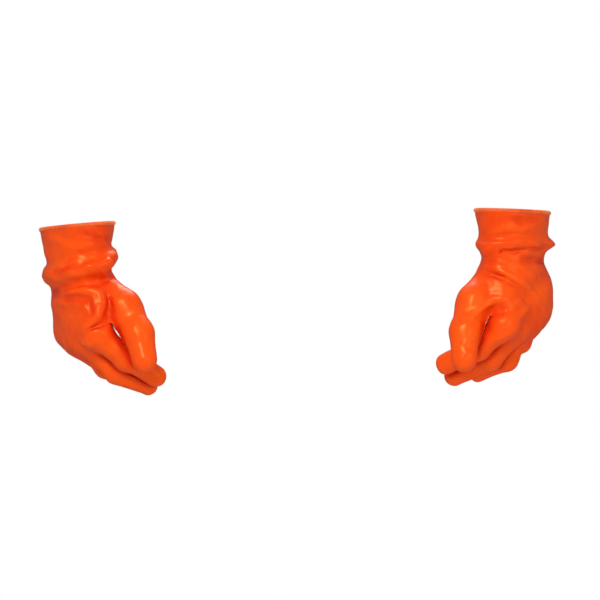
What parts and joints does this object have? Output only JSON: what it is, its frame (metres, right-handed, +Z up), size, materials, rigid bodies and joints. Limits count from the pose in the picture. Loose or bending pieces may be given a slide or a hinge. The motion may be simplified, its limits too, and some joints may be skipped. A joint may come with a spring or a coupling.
{
  "type": "insulated work gloves",
  "caption": "Pair of insulated PVC-dipped cold-work gloves with soft lining, loose gauntlets and rolled hems, shaped as worn on relaxed, half-curled hands.",
  "frame": {"origin": "midway between the two wrists, at wrist height", "axes": "+Z up, +X from the right glove to the left glove, the wearer faces -Y"},
  "size_m": [0.6162, 0.1337, 0.2227],
  "materials": {
    "coating": "glossy fluorescent orange PVC",
    "hem": "satin orange PVC bead",
    "lining": "brushed fleece lining"
  },
  "bodies": {
    "right_gauntlet": {"right_gauntlet": "coating", "right_hem_bead": "hem"},
    "right_hand": {"right_hand": "coating", "right_wrist_skin": "coating", "right_hand_lining": "lining", "right_thumb_root_skin": "coating", "right_index_knuckle_skin": "coating", "right_middle_knuckle_skin": "coating", "right_ring_knuckle_skin": "coating", "right_little_knuckle_skin": "coating"},
    "right_thumb_base": {"right_thumb_base": "coating", "right_thumb_joint_skin": "coating", "right_thumb_lining": "lining"},
    "right_thumb_tip": {"right_thumb_tip": "coating"},
    "right_index_base": {"right_index_base": "coating", "right_index_joint_skin": "coating", "right_index_lining": "lining"},
    "right_index_tip": {"right_index_tip": "coating"},
    "right_middle_base": {"right_middle_base": "coating", "right_middle_joint_skin": "coating", "right_middle_lining": "lining"},
    "right_middle_tip": {"right_middle_tip": "coating"},
    "right_ring_base": {"right_ring_base": "coating", "right_ring_joint_skin": "coating", "right_ring_lining": "lining"},
    "right_ring_tip": {"right_ring_tip": "coating"},
    "right_little_base": {"right_little_base": "coating", "right_little_joint_skin": "coating", "right_little_lining": "lining"},
    "right_little_tip": {"right_little_tip": "coating"},
    "left_gauntlet": {"left_gauntlet": "coating", "left_hem_bead": "hem"},
    "left_hand": {"left_hand": "coating", "left_wrist_skin": "coating", "left_hand_lining": "lining", "left_thumb_root_skin": "coating", "left_index_knuckle_skin": "coating", "left_middle_knuckle_skin": "coating", "left_ring_knuckle_skin": "coating", "left_little_knuckle_skin": "coating"},
    "left_thumb_base": {"left_thumb_base": "coating", "left_thumb_joint_skin": "coating", "left_thumb_lining": "lining"},
    "left_thumb_tip": {"left_thumb_tip": "coating"},
    "left_index_base": {"left_index_base": "coating", "left_index_joint_skin": "coating", "left_index_lining": "lining"},
    "left_index_tip": {"left_index_tip": "coating"},
    "left_middle_base": {"left_middle_base": "coating", "left_middle_joint_skin": "coating", "left_middle_lining": "lining"},
    "left_middle_tip": {"left_middle_tip": "coating"},
    "left_ring_base": {"left_ring_base": "coating", "left_ring_joint_skin": "coating", "left_ring_lining": "lining"},
    "left_ring_tip": {"left_ring_tip": "coating"},
    "left_little_base": {"left_little_base": "coating", "left_little_joint_skin": "coating", "left_little_lining": "lining"},
    "left_little_tip": {"left_little_tip": "coating"}
  },
  "joints": [
    {"name": "right_wrist_bend", "type": "hinge", "parent": "right_gauntlet", "child": "right_hand", "pos_m": [-0.262, 0, -0.008], "axis": [0.4555, -0.8567, 0.2419], "range_deg": [-30, 30], "stiffness_Nm_per_rad": 8, "deforming": ["right_wrist_skin", "right_hand_lining"]},
    {"name": "right_thumb_spread", "type": "hinge", "parent": "right_hand", "child": "right_thumb_base", "pos_m": [-0.20487, -0.03823, -0.04655], "axis": [-0.8109, -0.5673, -0.1432], "range_deg": [-3, 30], "stiffness_Nm_per_rad": 0.6, "deforming": ["right_thumb_root_skin", "right_thumb_lining"]},
    {"name": "right_thumb_bend", "type": "hinge", "parent": "right_thumb_base", "child": "right_thumb_tip", "pos_m": [-0.19078, -0.05257, -0.06951], "axis": [0.4189, -0.7983, 0.4327], "range_deg": [-12, 36], "stiffness_Nm_per_rad": 0.25, "deforming": ["right_thumb_joint_skin", "right_thumb_lining"]},
    {"name": "right_index_knuckle_bend", "type": "hinge", "parent": "right_hand", "child": "right_index_base", "pos_m": [-0.2391, -0.04519, -0.07061], "axis": [0.4555, -0.8567, 0.2419], "range_deg": [-46, 10], "stiffness_Nm_per_rad": 0.5, "deforming": ["right_index_knuckle_skin", "right_index_lining"]},
    {"name": "right_index_joint_bend", "type": "hinge", "parent": "right_index_base", "child": "right_index_tip", "pos_m": [-0.20616, -0.03592, -0.09982], "axis": [0.4555, -0.8567, 0.2419], "range_deg": [-10, 45], "stiffness_Nm_per_rad": 0.25, "deforming": ["right_index_joint_skin", "right_index_lining"]},
    {"name": "right_middle_knuckle_bend", "type": "hinge", "parent": "right_hand", "child": "right_middle_base", "pos_m": [-0.25226, -0.02471, -0.08078], "axis": [0.4555, -0.8567, 0.2419], "range_deg": [-40, 18], "stiffness_Nm_per_rad": 0.5, "deforming": ["right_middle_knuckle_skin", "right_middle_lining"]},
    {"name": "right_middle_joint_bend", "type": "hinge", "parent": "right_middle_base", "child": "right_middle_tip", "pos_m": [-0.21985, -0.01725, -0.11539], "axis": [0.4555, -0.8567, 0.2419], "range_deg": [-22, 45], "stiffness_Nm_per_rad": 0.25, "deforming": ["right_middle_joint_skin", "right_middle_lining"]},
    {"name": "right_ring_knuckle_bend", "type": "hinge", "parent": "right_hand", "child": "right_ring_base", "pos_m": [-0.26621, -0.00274, -0.08003], "axis": [0.4555, -0.8567, 0.2419], "range_deg": [-41, 18], "stiffness_Nm_per_rad": 0.5, "deforming": ["right_ring_knuckle_skin", "right_ring_lining"]},
    {"name": "right_ring_joint_bend", "type": "hinge", "parent": "right_ring_base", "child": "right_ring_tip", "pos_m": [-0.23469, 0.00481, -0.11268], "axis": [0.4555, -0.8567, 0.2419], "range_deg": [-26, 45], "stiffness_Nm_per_rad": 0.25, "deforming": ["right_ring_joint_skin", "right_ring_lining"]},
    {"name": "right_little_knuckle_bend", "type": "hinge", "parent": "right_hand", "child": "right_little_base", "pos_m": [-0.28061, 0.02009, -0.07129], "axis": [0.4555, -0.8567, 0.2419], "range_deg": [-44, 18], "stiffness_Nm_per_rad": 0.5, "deforming": ["right_little_knuckle_skin", "right_little_lining"]},
    {"name": "right_little_joint_bend", "type": "hinge", "parent": "right_little_base", "child": "right_little_tip", "pos_m": [-0.25491, 0.02691, -0.09555], "axis": [0.4555, -0.8567, 0.2419], "range_deg": [-26, 45], "stiffness_Nm_per_rad": 0.25, "deforming": ["right_little_joint_skin", "right_little_lining"]},
    {"name": "left_glove_apart", "type": "slide", "parent": "right_gauntlet", "child": "left_gauntlet", "axis": [1, 0, 0], "range_m": [-0.12, 0.25]},
    {"name": "left_wrist_bend", "type": "hinge", "parent": "left_gauntlet", "child": "left_hand", "pos_m": [0.253, 0, 0.0095], "axis": [0.4838, 0.8695, -0.0992], "range_deg": [-30, 30], "stiffness_Nm_per_rad": 8, "deforming": ["left_wrist_skin", "left_hand_lining"]},
    {"name": "left_thumb_spread", "type": "hinge", "parent": "left_hand", "child": "left_thumb_base", "pos_m": [0.20457, -0.03572, -0.04139], "axis": [-0.8294, 0.5583, 0.0217], "range_deg": [-3, 30], "stiffness_Nm_per_rad": 0.6, "deforming": ["left_thumb_root_skin", "left_thumb_lining"]},
    {"name": "left_thumb_bend", "type": "hinge", "parent": "left_thumb_base", "child": "left_thumb_tip", "pos_m": [0.19521, -0.04861, -0.06742], "axis": [0.4844, 0.823, -0.2966], "range_deg": [-12, 36], "stiffness_Nm_per_rad": 0.25, "deforming": ["left_thumb_joint_skin", "left_thumb_lining"]},
    {"name": "left_index_knuckle_bend", "type": "hinge", "parent": "left_hand", "child": "left_index_base", "pos_m": [0.24279, -0.04123, -0.05893], "axis": [0.4838, 0.8695, -0.0992], "range_deg": [-56, 5], "stiffness_Nm_per_rad": 0.5, "deforming": ["left_index_knuckle_skin", "left_index_lining"]},
    {"name": "left_index_joint_bend", "type": "hinge", "parent": "left_index_base", "child": "left_index_tip", "pos_m": [0.21126, -0.02697, -0.0877], "axis": [0.4838, 0.8695, -0.0992], "range_deg": [-13, 45], "stiffness_Nm_per_rad": 0.25, "deforming": ["left_index_joint_skin", "left_index_lining"]},
    {"name": "left_middle_knuckle_bend", "type": "hinge", "parent": "left_hand", "child": "left_middle_base", "pos_m": [0.25741, -0.02017, -0.06517], "axis": [0.4838, 0.8695, -0.0992], "range_deg": [-48, 18], "stiffness_Nm_per_rad": 0.5, "deforming": ["left_middle_knuckle_skin", "left_middle_lining"]},
    {"name": "left_middle_joint_bend", "type": "hinge", "parent": "left_middle_base", "child": "left_middle_tip", "pos_m": [0.22761, -0.00764, -0.10065], "axis": [0.4838, 0.8695, -0.0992], "range_deg": [-21, 45], "stiffness_Nm_per_rad": 0.25, "deforming": ["left_middle_joint_skin", "left_middle_lining"]},
    {"name": "left_ring_knuckle_bend", "type": "hinge", "parent": "left_hand", "child": "left_ring_base", "pos_m": [0.27073, 0.0017, -0.06048], "axis": [0.4838, 0.8695, -0.0992], "range_deg": [-41, 18], "stiffness_Nm_per_rad": 0.5, "deforming": ["left_ring_knuckle_skin", "left_ring_lining"]},
    {"name": "left_ring_joint_bend", "type": "hinge", "parent": "left_ring_base", "child": "left_ring_tip", "pos_m": [0.24585, 0.01127, -0.09796], "axis": [0.4838, 0.8695, -0.0992], "range_deg": [-23, 45], "stiffness_Nm_per_rad": 0.25, "deforming": ["left_ring_joint_skin", "left_ring_lining"]},
    {"name": "left_little_knuckle_bend", "type": "hinge", "parent": "left_hand", "child": "left_little_base", "pos_m": [0.28299, 0.02393, -0.0478], "axis": [0.4838, 0.8695, -0.0992], "range_deg": [-39, 18], "stiffness_Nm_per_rad": 0.5, "deforming": ["left_little_knuckle_skin", "left_little_lining"]},
    {"name": "left_little_joint_bend", "type": "hinge", "parent": "left_little_base", "child": "left_little_tip", "pos_m": [0.26439, 0.03085, -0.07783], "axis": [0.4838, 0.8695, -0.0992], "range_deg": [-26, 45], "stiffness_Nm_per_rad": 0.25, "deforming": ["left_little_joint_skin", "left_little_lining"]}
  ]
}
